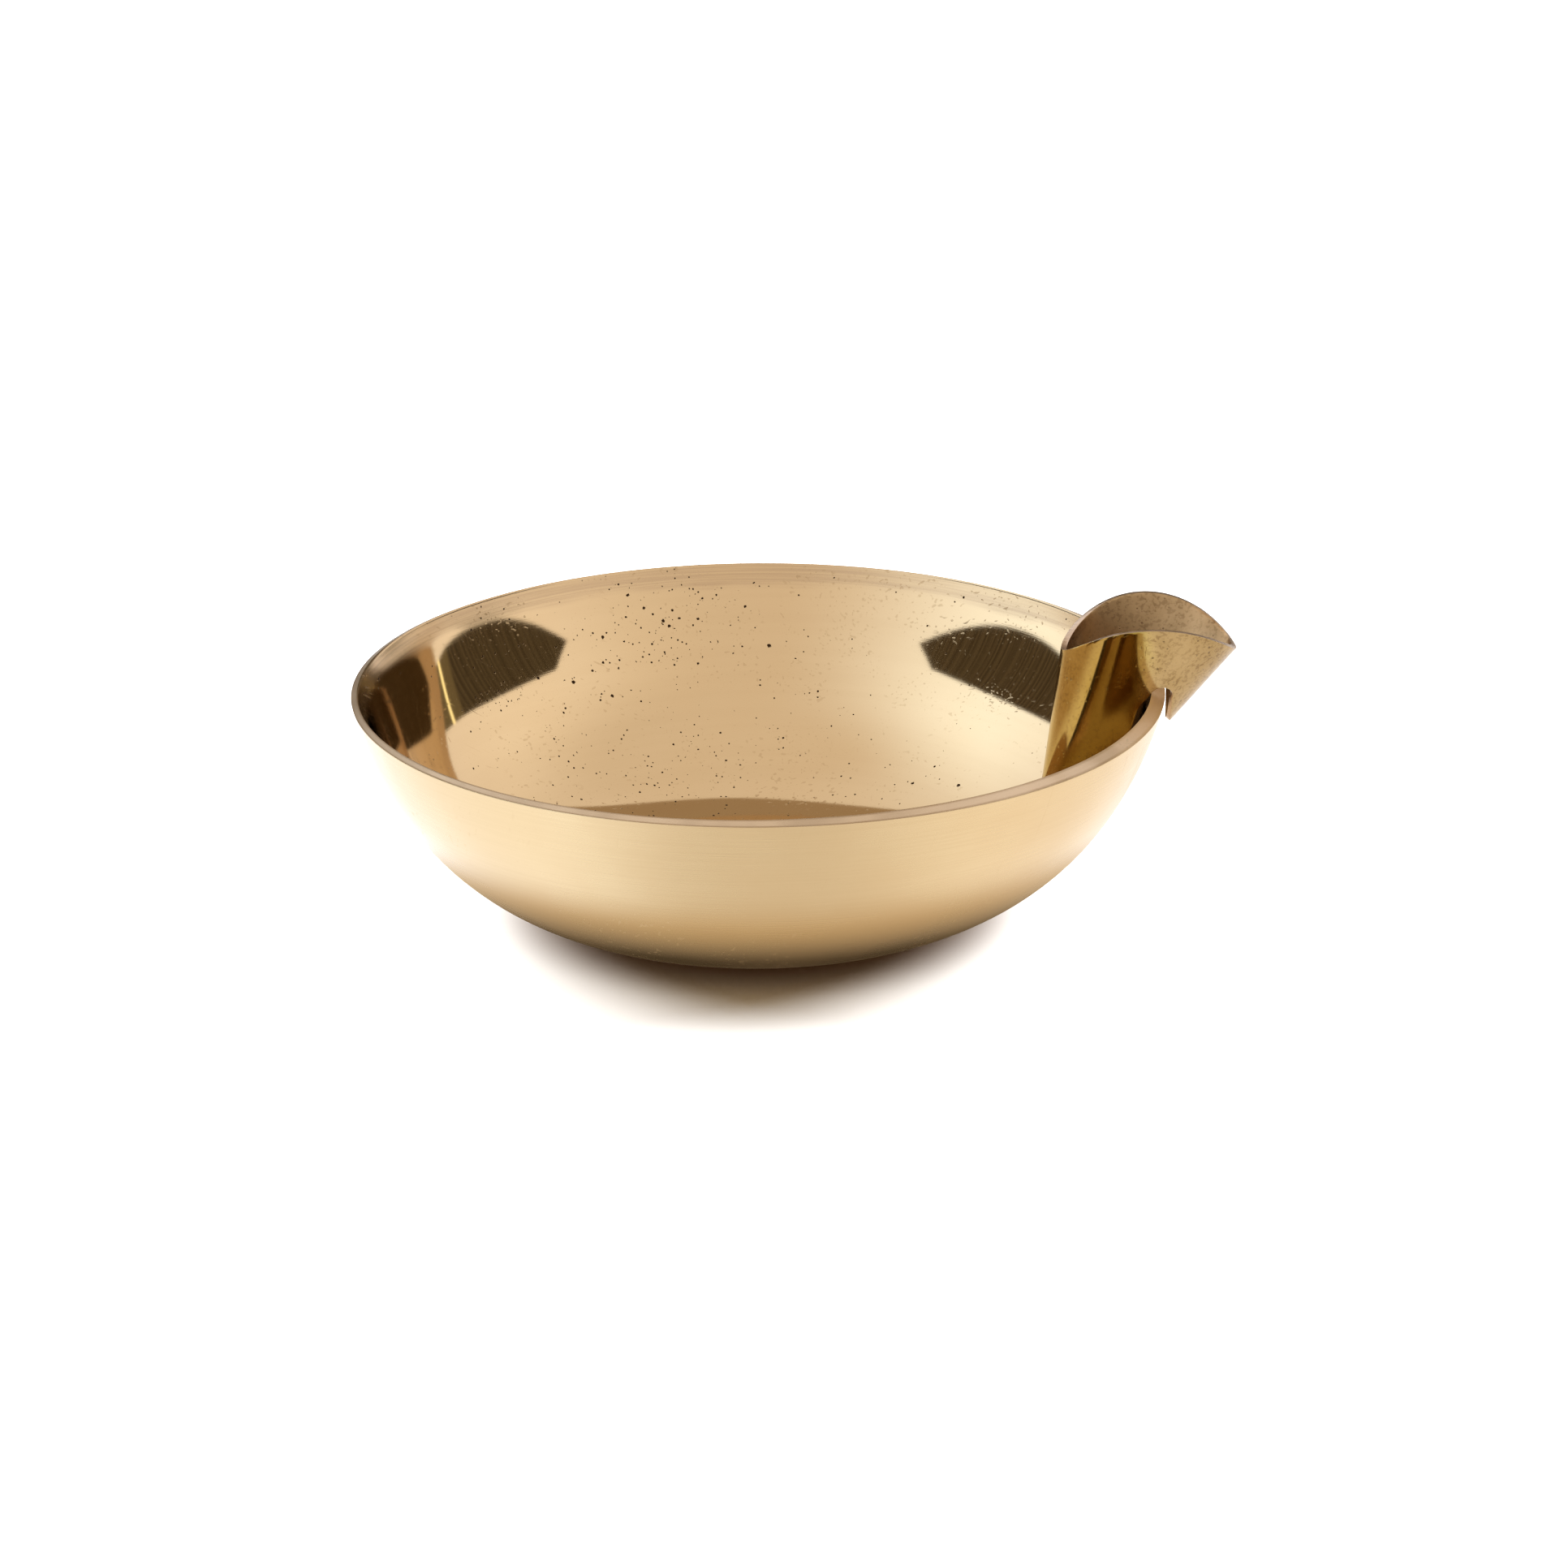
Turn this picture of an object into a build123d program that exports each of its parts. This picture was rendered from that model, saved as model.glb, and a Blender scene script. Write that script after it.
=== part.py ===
"""A round cast-brass bowl lamp with a folded brass rest hooked over its rim.

Two loose pieces: the bowl, which stands on a small flat under its rounded body, and the rest,
a flattened cone of sheet brass that hangs on the rim by a notch cut through both of its walls.

Frame: millimetres, +Z up. The origin is the centre of the flat that the bowl stands on.
+X points from the bowl's axis to the rest, and the rest is symmetrical about the XZ plane.
"""

from build123d import *

import os

# Bowl: outside
RIM_RADIUS = 65.0  # outer edge of the rim
RIM_HEIGHT = 37.2  # inner edge of the rim, the highest part of the bowl
RIM_WALL = 1.55  # mean wall at the rim
BASE_RADIUS = 20.0  # the flat that the bowl stands on
FLANK_ANGLE = 75.3  # slope of the flank just under the rim, from horizontal
BASE_HANDLE = 24.2  # how far the outside stays shallow past the base flat
FLANK_HANDLE = 22.6  # how far the outside stays steep below the rim

# Bowl: inside
INSIDE_OFFSET = -0.65  # the inside is turned off centre, so the wall is thicker on the +X side
FLOOR_THICKNESS = 1.7  # brass under the middle of the inside
INSIDE_ANGLE = 74.8  # slope of the inside just under the rim
FLOOR_HANDLE = 18.5  # how far the inside stays shallow from its middle
INSIDE_HANDLE = 43.4  # how far it stays steep below the rim
RIM_FALL = 0.42  # the rim face falls outward by this much per millimetre of wall
RIM_EDGE = 0.15  # worn radius on both edges of the rim face

# Rest: a flattened cone of sheet, wide at the top
SHEET = 0.9  # thickness of the sheet
SECTION_HEIGHT = 42.0  # height at which the section below is given
FOLD_INNER_X = 48.2  # the section's inner end, over the inside of the bowl
FOLD_OUTER_X = 75.75  # the section's outer end, outside the rim
FOLD_ANGLE = 86.0  # angle between each wall and the section's long axis at its ends
INNER_HANDLE = 15.3  # how far the walls keep that direction at the inner end
OUTER_HANDLE = 7.7  # the same at the outer end, which is the tighter fold
INSET_SHARE = 1.37  # a handle of the inner face is shorter by this many sheet thicknesses
APEX_X = 43.35  # where the cone's lines meet, below the bottom edge
APEX_HEIGHT = 3.8
BOTTOM_HEIGHT = 11.6  # bottom edge of the rest
TOP_ARC_X = 62.3  # the top edge is an arc, seen along Y
TOP_ARC_HEIGHT = 29.7
TOP_ARC_RADIUS = 19.1

# Rest: the notch that hooks over the rim, as seen along Y
TIP_X = 65.8  # inner side of the tip that hangs outside the bowl
TIP_SIDE_TOP = 35.6  # where that side starts to round over
NOTCH_CROWN = (63.8, 38.2)
NOTCH_HEEL = (62.1, 36.9)  # just inside the rim
# Below the heel the edge bows in, then follows the inside of the bowl down to the bottom edge.
EDGE_POINTS = [(60.3, 34.6), (58.8, 29.5), (54.0, 20.0), (47.4, BOTTOM_HEIGHT)]

OVERRUN = 8.0  # how far cutting shapes run past what they cut


def profile(points_and_handles):
    """A cubic curve from a start, two handles and an end, in the XZ plane."""
    return Bezier(*[(x, 0, z) for x, z in points_and_handles])


def along(angle, length):
    """A step of the given length at an angle above +X, in the XZ plane."""
    step = Vector(length, 0).rotate(Axis.Z, angle)
    return step.X, step.Y


def outside_body():
    """The bowl as a solid lump, its flank carried on straight above the rim."""
    mean_fall = RIM_FALL * RIM_WALL
    edge_height = RIM_HEIGHT - mean_fall
    dx, dz = along(FLANK_ANGLE, FLANK_HANDLE)
    ex, ez = along(FLANK_ANGLE, OVERRUN)
    flank = profile(
        [
            (BASE_RADIUS, 0),
            (BASE_RADIUS + BASE_HANDLE, 0),
            (RIM_RADIUS - dx, edge_height - dz),
            (RIM_RADIUS, edge_height),
        ]
    )
    above = Line(flank @ 1, (RIM_RADIUS + ex, 0, edge_height + ez))
    closing = Polyline(above @ 1, (0, 0, edge_height + ez), (0, 0, 0), flank @ 0)
    return revolve(make_face([flank, above, closing]), Axis.Z)


def inside_room():
    """What is taken out of the lump: the hollow, and all that is above the rim face."""
    radius = RIM_RADIUS - RIM_WALL
    dx, dz = along(INSIDE_ANGLE, INSIDE_HANDLE)
    wall = profile(
        [
            (0, FLOOR_THICKNESS),
            (FLOOR_HANDLE, FLOOR_THICKNESS),
            (radius - dx, RIM_HEIGHT - dz),
            (radius, RIM_HEIGHT),
        ]
    )
    rim_face = Line(wall @ 1, (radius + OVERRUN, 0, RIM_HEIGHT - RIM_FALL * OVERRUN))
    top = RIM_HEIGHT + 2 * OVERRUN
    closing = Polyline(rim_face @ 1, (radius + OVERRUN, 0, top), (0, 0, top), wall @ 0)
    room = revolve(make_face([wall, rim_face, closing]), Axis.Z)
    return Pos(INSIDE_OFFSET, 0, 0) * room


def make_bowl():
    """The bowl, open at the top, with both rim edges slightly rounded."""
    bowl = outside_body() - inside_room()
    rim_edges = bowl.edges().filter_by(lambda edge: edge.bounding_box().min.Z > RIM_HEIGHT / 2)
    return fillet(rim_edges, RIM_EDGE)


def section(height, inset):
    """The rest's section at a height: two mirrored curves that meet at the folds."""
    scale = (height - APEX_HEIGHT) / (SECTION_HEIGHT - APEX_HEIGHT)
    inner_end = APEX_X + scale * (FOLD_INNER_X - APEX_X) + inset
    outer_end = APEX_X + scale * (FOLD_OUTER_X - APEX_X) - inset
    inner_dx, inner_dy = along(FOLD_ANGLE, scale * INNER_HANDLE - INSET_SHARE * inset)
    outer_dx, outer_dy = along(FOLD_ANGLE, scale * OUTER_HANDLE - INSET_SHARE * inset)
    sides = [
        Bezier(
            (inner_end, 0),
            (inner_end + inner_dx, side * inner_dy),
            (outer_end - outer_dx, side * outer_dy),
            (outer_end, 0),
        )
        for side in (1, -1)
    ]
    return Pos(0, 0, height) * make_face(sides)


def cone(inset):
    """The flattened cone between two sections, each drawn in by the inset."""
    low = BOTTOM_HEIGHT
    high = TOP_ARC_HEIGHT + TOP_ARC_RADIUS + OVERRUN
    return loft([section(low, inset), section(high, inset)], ruled=True)


def side_view_block():
    """What is kept of the cone, seen along Y: under the curved top and clear of the notch."""
    left = (TOP_ARC_X - TOP_ARC_RADIUS, TOP_ARC_HEIGHT)
    top = (TOP_ARC_X, TOP_ARC_HEIGHT + TOP_ARC_RADIUS)
    right = (TOP_ARC_X + TOP_ARC_RADIUS, TOP_ARC_HEIGHT)
    low = BOTTOM_HEIGHT - OVERRUN
    edge_end = EDGE_POINTS[-1]
    outline = [
        ThreePointArc(left, top, right),
        Polyline(right, (right[0], low), (TIP_X, low), (TIP_X, TIP_SIDE_TOP)),
        ThreePointArc((TIP_X, TIP_SIDE_TOP), NOTCH_CROWN, NOTCH_HEEL),
        Spline(NOTCH_HEEL, *EDGE_POINTS),
        Polyline(edge_end, (edge_end[0], low), (left[0], low), left),
    ]
    face = Plane.XZ * make_face(outline)
    return extrude(face, amount=RIM_RADIUS, both=True)


def make_rest():
    """The folded rest: a cone of sheet, cut to its curved top, notch and inner edge."""
    return (cone(0) - cone(SHEET)) & side_view_block()


def main():
    os.makedirs("parts", exist_ok=True)
    export_step(make_bowl(), "parts/bowl.step")
    export_step(make_rest(), "parts/rim_rest.step")


main()
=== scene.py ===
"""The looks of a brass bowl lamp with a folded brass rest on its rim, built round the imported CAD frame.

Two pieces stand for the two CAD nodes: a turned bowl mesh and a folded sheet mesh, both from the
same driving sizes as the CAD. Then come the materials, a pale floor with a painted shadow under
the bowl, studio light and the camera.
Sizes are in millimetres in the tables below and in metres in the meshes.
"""

import math

import bmesh
import bpy
import numpy as np
from mathutils import Matrix, Vector, geometry


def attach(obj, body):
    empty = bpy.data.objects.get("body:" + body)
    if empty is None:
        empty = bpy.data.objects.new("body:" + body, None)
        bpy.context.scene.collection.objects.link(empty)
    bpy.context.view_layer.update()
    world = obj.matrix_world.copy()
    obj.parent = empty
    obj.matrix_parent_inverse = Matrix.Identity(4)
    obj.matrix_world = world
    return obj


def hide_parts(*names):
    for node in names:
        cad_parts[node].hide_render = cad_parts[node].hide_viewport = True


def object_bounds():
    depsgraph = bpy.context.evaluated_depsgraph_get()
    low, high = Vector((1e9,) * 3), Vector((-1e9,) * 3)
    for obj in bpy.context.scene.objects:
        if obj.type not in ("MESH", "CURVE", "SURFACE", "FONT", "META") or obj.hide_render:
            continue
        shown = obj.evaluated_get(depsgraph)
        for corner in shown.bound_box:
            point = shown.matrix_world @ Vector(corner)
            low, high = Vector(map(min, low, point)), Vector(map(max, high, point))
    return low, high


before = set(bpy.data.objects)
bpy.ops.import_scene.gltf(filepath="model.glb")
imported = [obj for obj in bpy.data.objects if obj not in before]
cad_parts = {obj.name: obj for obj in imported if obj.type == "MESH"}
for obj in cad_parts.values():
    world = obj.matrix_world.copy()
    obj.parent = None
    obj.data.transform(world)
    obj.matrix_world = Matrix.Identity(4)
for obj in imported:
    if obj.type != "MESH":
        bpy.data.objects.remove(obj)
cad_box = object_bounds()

MM = 0.001

# Bowl, as in the CAD
RIM_RADIUS = 65.0
RIM_HEIGHT = 37.2
RIM_WALL = 1.55
BASE_RADIUS = 20.0
FLANK_ANGLE = math.radians(75.3)
BASE_HANDLE = 24.2
FLANK_HANDLE = 22.6
INSIDE_OFFSET = -0.65  # of the inside's axis, along X
FLOOR_THICKNESS = 1.7
INSIDE_ANGLE = math.radians(74.8)
FLOOR_HANDLE = 18.5
INSIDE_HANDLE = 43.4
RIM_FALL = 0.42  # how steeply the rim face falls outward
EDGE_HEIGHT = RIM_HEIGHT - RIM_FALL * RIM_WALL  # of the outer edge, before the offset is counted
INSIDE_RADIUS = RIM_RADIUS - RIM_WALL

# Bowl, what the mesh adds
SEGMENTS = 480
BASE_ROWS = 20
OUTSIDE_ROWS = 120
INSIDE_ROWS = 150
EDGE_ROUNDS = 6  # how often the height of the outer edge is worked out again from its radius
RIM_ROWS = (0.25, 0.5, 0.75)  # rows across the rim face, as shares of its width
EDGE_ROW = 0.0035  # how close an extra row runs to each edge of the rim, as a share of the curve
RIM_EDGE = 0.2  # worn radius of the rim's edges
ROUND_ERROR = 0.14  # how far the rim is out of round
LOBES = ((3, 0.8, 0.63), (2, 0.28, 1.57))  # lobes round the rim, share of the error, phase in radians
SWELL = 0.7  # how far the inside stands proud of its curve under the rim, opposite the rest
SWELL_HEIGHT = 33.0
SWELL_FOOT = 14.0
SWELL_FULL = math.radians(14)  # from the side opposite the rest
SWELL_END = math.radians(34)

# Rest, as in the CAD
SHEET = 0.9
SECTION_HEIGHT = 42.0
FOLD_INNER_X = 48.2
FOLD_OUTER_X = 75.75
FOLD_ANGLE = math.radians(86.0)
INNER_HANDLE = 15.3
OUTER_HANDLE = 7.7
APEX_X = 43.35
APEX_HEIGHT = 3.8
BOTTOM_HEIGHT = 11.6
TOP_ARC_X = 62.3
TOP_ARC_HEIGHT = 29.7
TOP_ARC_RADIUS = 19.1
TIP_X = 65.8
TIP_SIDE_TOP = 35.6
NOTCH_CROWN = (63.8, 38.2)
NOTCH_HEEL = (62.1, 36.9)
EDGE_POINTS = ((60.3, 34.6), (58.8, 29.5), (54.0, 20.0), (47.4, BOTTOM_HEIGHT))

# Rest, what the mesh adds
WALL_LENGTH = 29.0  # along one wall of the section, which sets the mesh's spacing across
MESH_STEP = 0.4
BOTTOM_POINTS = 12
NOTCH_POINTS = 26
TIP_POINTS = 15
TOP_ARC_POINTS = 90
WALL_LOOKUP = 2001  # entries in the table that turns a place on a wall into the section's parameter
FOLD_LOOKUP = 4001  # heights tried for where a fold meets the arc
CUT_EDGE = 0.12  # worn radius of the cut edges

# Camera
AIM = Vector((4.0, 0.0, 20.0)) * MM
DISTANCE = 0.9
CAMERA_ELEVATION = math.radians(19.84)
CAMERA_ROLL = math.radians(-0.43)
LENS = 128.48
SENSOR = 36.0

# Studio: the light that comes from each part of the room, and the floor's own lights.
# Directions are in degrees: azimuth from the camera's side, positive to the right, and elevation.
ROOM_POWER = 1.54
ROOM_LIGHT = (0.75, 0.71, 0.70)
GLOWS = (  # added light, azimuth, sharpness, elevations over which it rises and over which it falls
    ((0.46, 0.70, 1.05), -95.0, 2.0, (-3.0, 7.0), (36.0, 76.0)),
    ((0.22, 0.25, 0.30), 95.0, 1.8, (-6.0, 6.0), (32.0, 62.0)),
)
BEHIND_LIGHT = (0.35, 0.27, 0.19)  # high up behind
BEHIND_DARK = (0.10, 0.08, 0.055)  # low down behind
BEHIND_FADE = (45.0, 20.0)  # elevations over which the one turns into the other
BEHIND_AZIMUTH = 176.0  # middle of the dark part behind
BEHIND_TOP = 59.0  # elevation of its top in the middle
BEHIND_EDGE = 32.0  # how far it reaches to each side of its middle
BEHIND_BOW = 0.0155  # and how the top drops to the sides, per square degree
GAP_FACING = 60.0  # azimuth that the wall with the dark gap faces, on each side
GAP_CORNER = 0.7  # how steeply the gap's top comes down at its end
DARK_GAPS = (  # side, azimuth and elevation of the end, foot's lowest elevation, rise and reach, top
    (1, 63.0, 23.0, 5.0, 17.5, 15.5, 0.56),
    (-1, 57.0, 27.0, 6.0, 19.5, 22.0, 0.632),
)
GAP_TONES = ((0.03, 0.022, 0.012), (0.115, 0.095, 0.065))
GAP_FRAY_AZIMUTH = (4.0, 4.0)  # how fast its edges waver with elevation, and how far
GAP_FRAY_ELEVATION = (1.5, 1.0)  # the same with azimuth
STREAK_AZIMUTH = 110.0  # a bright slit in the right gap
STREAK_WIDTH = 1.1
STREAK_LEAN = 0.55
STREAK_LIGHT = (1.35, 1.30, 0.85)
STREAK_BESIDE = (0.15, 0.125, 0.075)  # the gap's light from a little before the slit onwards
STREAK_FADE = (-9.0, -6.5)  # degrees from the slit over which it begins
BOUNCED_LIGHT = (0.016, 0.009, 0.004)  # what diffuse surfaces get of the room
BACKDROP = (1.0, 1.0, 1.0)
CARD_FRONT = (0.76, 0.74, 0.73)
CARD_LEFT = (1.15, 1.22, 1.36)
CARD_RIGHT = (1.02, 1.00, 1.00)
# painted shade and painted shadow of the bowl in the glowing card that the brass reflects
CARD_SHADE = (0.60, 0.48, 0.33)
CARD_SHADE_RADII = (0.066, 0.051)  # metres from the axis, from none of it to all of it
CARD_PAINTED_SHADOW = (0.02, 0.011, 0.003)
CARD_PAINTED_SHADOW_RADII = (0.0565, 0.0375)
FLOOR_TONES = ((0.90, 0.90, 0.90), (0.92, 0.92, 0.92))
# painted shadow on the floor under the bowl, browned for the light off the brass
FLOOR_PAINTED_SHADOW = (0.27, 0.12, 0.035)
FLOOR_PAINTED_SHADOW_RADII = (0.025, 0.046)  # metres from the axis, from all of it to none of it
FLOOR_RADIUS = 6.0  # metres
FLOOR_LIGHTS = ((-108.0, 7.0), (104.0, 8.5))  # azimuth and power
FLOOR_LIGHT_ELEVATION = 36.0
FLOOR_LIGHT_WIDTH = 40.0

# Metal: colours before they are aged. A pair is the two tones of the patches.
AGED = 0.65  # how much the aged metal reflects, as a share of the colours below
PATCHY = (0.3, 0.7)  # the span of a noise over which one tone turns into the other
INSIDE_TONES = ((0.87, 0.62, 0.335), (0.86, 0.605, 0.32))
INSIDE_TURNED = (0.80, 0.555, 0.29)
INSIDE_UNDER_RIM_DARK = (0.66, 0.45, 0.25)
INSIDE_SCRATCH = (0.62, 0.41, 0.20)
OUTSIDE_TONES = ((0.88, 0.66, 0.37), (0.84, 0.61, 0.33))
OUTSIDE_STREAK = (0.78, 0.565, 0.30)
RIM_TONES = ((0.88, 0.66, 0.42), (0.76, 0.56, 0.35))
RIM_TOWARD_REST = (1.30, 1.04, 0.74)
RIM_SCRATCH = (0.9, 0.75, 0.5)
BASE_TONES = ((0.72, 0.52, 0.28), (0.52, 0.36, 0.18))
BOWL_PIT = (0.055, 0.028, 0.012)
REST_POLISHED = ((0.84, 0.62, 0.24), (0.74, 0.52, 0.17))
REST_TARNISHED = ((0.55, 0.37, 0.165), (0.45, 0.29, 0.115))
# painted shade on the polished part of the rest
REST_PAINTED_SHADE = (0.50, 0.36, 0.09)
REST_DULL = ((0.66, 0.44, 0.22), (0.50, 0.32, 0.145))
REST_WARM = (0.62, 0.33, 0.13)
REST_OUTER_FLECK = (0.24, 0.13, 0.045)
REST_INNER_FLECK = (0.22, 0.12, 0.045)
REST_PIT = (0.16, 0.09, 0.035)
CUT_TONES = ((0.98, 0.76, 0.56), (0.82, 0.60, 0.42))

# Roughness, least and most
INSIDE_ROUGHNESS = (0.035, 0.055)
OUTSIDE_ROUGHNESS = (0.21, 0.26)
RIM_ROUGHNESS = (0.3, 0.42)
BASE_ROUGHNESS = (0.3, 0.5)
REST_OUTER_ROUGHNESS = (0.07, 0.17)
REST_INNER_ROUGHNESS = (0.34, 0.48)
CUT_ROUGHNESS = (0.25, 0.4)

# Pits: spacing and largest size, and the share of cells with a pit away from the clusters
LARGE_PIT = (1.5, 0.68)
LARGE_PIT_SHARE = 0.012
SMALL_PIT = (0.75, 0.38)
SMALL_PIT_SHARE = 0.045
OUTSIDE_PIT = (3.0, 0.3)
OUTSIDE_PIT_SHARE = 0.05
REST_PIT_SIZE = (0.7, 0.42)

# Where the inside is pitted most: centre, radius, share of cells with a pit
LARGE_PITS = (
    ((-9.4, 61.8, 33.7), 3.5, 1.2),
    ((-16.0, 59.5, 29.0), 15.0, 0.75),
    ((-24.0, 54.7, 26.0), 12.0, 0.60),
    ((-3.0, 61.0, 30.0), 12.0, 0.50),
    ((-43.0, 40.0, 24.0), 16.0, 0.35),
    ((-28.0, 51.0, 20.0), 12.0, 0.35),
    ((12.0, -52.0, 20.0), 16.0, 0.35),
)
SMALL_PITS = (
    ((-16.0, 59.0, 29.0), 20.0, 0.55),
    ((-18.0, 38.0, 7.0), 22.0, 0.60),
    ((0.0, 45.0, 10.0), 40.0, 0.12),
    ((-43.0, 40.0, 24.0), 20.0, 0.40),
    ((20.0, -30.0, 5.0), 22.0, 0.40),
)


# ---------------------------------------------------------------- meshes


def cubic(points, t):
    """Points on a cubic Bezier curve at the parameters t, one row each."""
    a, b, c, d = [np.array(p, float) for p in points]
    t = np.asarray(t, float)[:, None]
    s = 1 - t
    return s**3 * a + 3 * s * s * t * b + 3 * s * t * t * c + t**3 * d


def smoothstep(value, low, high):
    share = np.clip((value - low) / (high - low), 0, 1)
    return share * share * (3 - 2 * share)


def out_of_round(angle):
    """How far the rim lies inside the true circle at each angle, in millimetres."""
    lobes = sum(share * np.cos(count * angle + phase) for count, share, phase in LOBES)
    return ROUND_ERROR * (lobes - sum(share for _, share, _ in LOBES)) / 2


def swelling(height, angle):
    """How far the inside stands proud at a height and angle, in millimetres."""
    from_rim = np.clip((RIM_HEIGHT - height) / (RIM_HEIGHT - SWELL_HEIGHT), 0, 1)
    from_top = np.clip((SWELL_HEIGHT - height) / (SWELL_HEIGHT - SWELL_FOOT), 0, 1)
    above = np.sin(math.pi / 2 * from_rim)
    below = 0.5 + 0.5 * np.cos(math.pi * from_top)
    share = 1 - smoothstep(np.abs(angle - math.pi), SWELL_FULL, SWELL_END)
    return SWELL * share * (above if height > SWELL_HEIGHT else below)


def outside_profile():
    """Radius and height up the outside, from the edge of the flat to the rim."""
    flank_x = math.cos(FLANK_ANGLE) * FLANK_HANDLE
    flank_z = math.sin(FLANK_ANGLE) * FLANK_HANDLE
    handles = (
        (BASE_RADIUS, 0),
        (BASE_RADIUS + BASE_HANDLE, 0),
        (RIM_RADIUS - flank_x, EDGE_HEIGHT - flank_z),
        (RIM_RADIUS, EDGE_HEIGHT),
    )
    return cubic(handles, np.concatenate((np.linspace(0, 1, OUTSIDE_ROWS)[:-1], [1 - EDGE_ROW, 1])))


def inside_profile():
    """Radius, from the inside's own axis, and height down the inside to the middle of the floor."""
    inside_x = math.cos(INSIDE_ANGLE) * INSIDE_HANDLE
    inside_z = math.sin(INSIDE_ANGLE) * INSIDE_HANDLE
    handles = (
        (INSIDE_RADIUS, RIM_HEIGHT),
        (INSIDE_RADIUS - inside_x, RIM_HEIGHT - inside_z),
        (FLOOR_HANDLE, FLOOR_THICKNESS),
        (0, FLOOR_THICKNESS),
    )
    return cubic(handles, np.concatenate(([0, EDGE_ROW], np.linspace(0, 1, INSIDE_ROWS)[1:-1])))


def outer_edge_heights(angle):
    """Where the outside meets the rim face, which falls outward from the inner edge."""
    height = np.full(SEGMENTS, EDGE_HEIGHT)
    for _ in range(EDGE_ROUNDS):
        radius = RIM_RADIUS + (height - EDGE_HEIGHT) / math.tan(FLANK_ANGLE)
        from_inside_axis = np.hypot(radius * np.cos(angle) - INSIDE_OFFSET, radius * np.sin(angle))
        height = RIM_HEIGHT - RIM_FALL * (from_inside_axis - INSIDE_RADIUS)
    return height


def bowl_rows():
    """The bowl's points, row by row: up the outside, over the rim face and down the inside.

    Returns the points, how far along the profile each row is, and the row where each part ends.
    """
    angle = np.linspace(0, 2 * math.pi, SEGMENTS, endpoint=False)
    edge_z = outer_edge_heights(angle)
    base = np.array([(r, 0.0) for r in np.linspace(1.0, BASE_RADIUS, BASE_ROWS)[:-1]])
    outside = outside_profile()

    rows = []
    for r, z in np.vstack((base, outside)):
        near_rim = smoothstep(z, 0.8 * EDGE_HEIGHT, EDGE_HEIGHT)
        height = z + near_rim * (edge_z - EDGE_HEIGHT)
        radius = r + near_rim * (edge_z - EDGE_HEIGHT) / math.tan(FLANK_ANGLE)
        rows.append((radius * np.cos(angle), radius * np.sin(angle), height * np.ones(SEGMENTS)))
    outer_edge = np.array(rows[-1])
    inner_edge = np.array(
        (
            INSIDE_RADIUS * np.cos(angle) + INSIDE_OFFSET,
            INSIDE_RADIUS * np.sin(angle),
            np.full(SEGMENTS, RIM_HEIGHT),
        )
    )
    for share in RIM_ROWS:
        rows.append(tuple(outer_edge * (1 - share) + inner_edge * share))
    for r, z in inside_profile():
        radius = r - swelling(z, angle)
        x = radius * np.cos(angle) + INSIDE_OFFSET
        rows.append((x, radius * np.sin(angle), np.full(SEGMENTS, z)))

    points = np.array(rows).transpose(0, 2, 1)
    shrink = out_of_round(angle)[None, :] * smoothstep(points[:, :, 2], 0, RIM_HEIGHT) / RIM_RADIUS
    points[:, :, :2] *= (1 + shrink)[:, :, None]
    radii = np.hypot(points[:, 0, 0], points[:, 0, 1])
    along = np.concatenate(([0], np.cumsum(np.hypot(np.diff(radii), np.diff(points[:, 0, 2])))))
    outside_end = len(base) + len(outside) - 1
    ends = (len(base), outside_end, outside_end + 1 + len(RIM_ROWS))
    return points * MM, along * MM, ends


def bowl_mesh():
    """The bowl as one closed mesh, with a material index for base, outside, rim face and inside."""
    points, along, (base_end, outside_end, rim_end) = bowl_rows()
    rows = len(points)
    mesh = bmesh.new()
    reach = mesh.verts.layers.float.new("reach")
    grid = []
    for row, distance in zip(points, along):
        line = [mesh.verts.new(p) for p in row]
        for vert in line:
            vert[reach] = distance
        grid.append(line)
    for i in range(rows - 1):
        part = 0 if i < base_end else 1 if i < outside_end else 2 if i < rim_end else 3
        for j in range(SEGMENTS):
            k = (j + 1) % SEGMENTS
            face = mesh.faces.new((grid[i][j], grid[i][k], grid[i + 1][k], grid[i + 1][j]))
            face.material_index = part
    for line, height, distance, part in (
        (grid[0], 0.0, 0.0, 0),
        (grid[-1], FLOOR_THICKNESS * MM, along[-1], 3),
    ):
        centre = sum((v.co for v in line), Vector()) / SEGMENTS
        middle = mesh.verts.new((centre.x, centre.y, height))
        middle[reach] = distance
        for j in range(SEGMENTS):
            pair = (line[j], line[(j + 1) % SEGMENTS])
            corners = (pair[1], pair[0], middle) if part == 0 else (*pair, middle)
            mesh.faces.new(corners).material_index = part
    rim_edges = [
        mesh.edges.get((grid[i][j], grid[i][(j + 1) % SEGMENTS]))
        for i in (outside_end, rim_end)
        for j in range(SEGMENTS)
    ]
    bmesh.ops.bevel(
        mesh, geom=rim_edges, offset=RIM_EDGE * MM, segments=4, profile=0.5, affect="EDGES", material=2
    )
    bmesh.ops.recalc_face_normals(mesh, faces=mesh.faces)
    piece = finish_mesh(mesh, "bowl_turned")
    for material in (base_brass(), outside_brass(), rim_brass(), inside_brass()):
        piece.data.materials.append(material)
    return piece


def finish_mesh(mesh, name):
    """A smooth-shaded object from a bmesh."""
    data = bpy.data.meshes.new(name)
    mesh.to_mesh(data)
    mesh.free()
    data.shade_smooth()
    piece = bpy.data.objects.new(name, data)
    bpy.context.scene.collection.objects.link(piece)
    return piece


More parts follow.
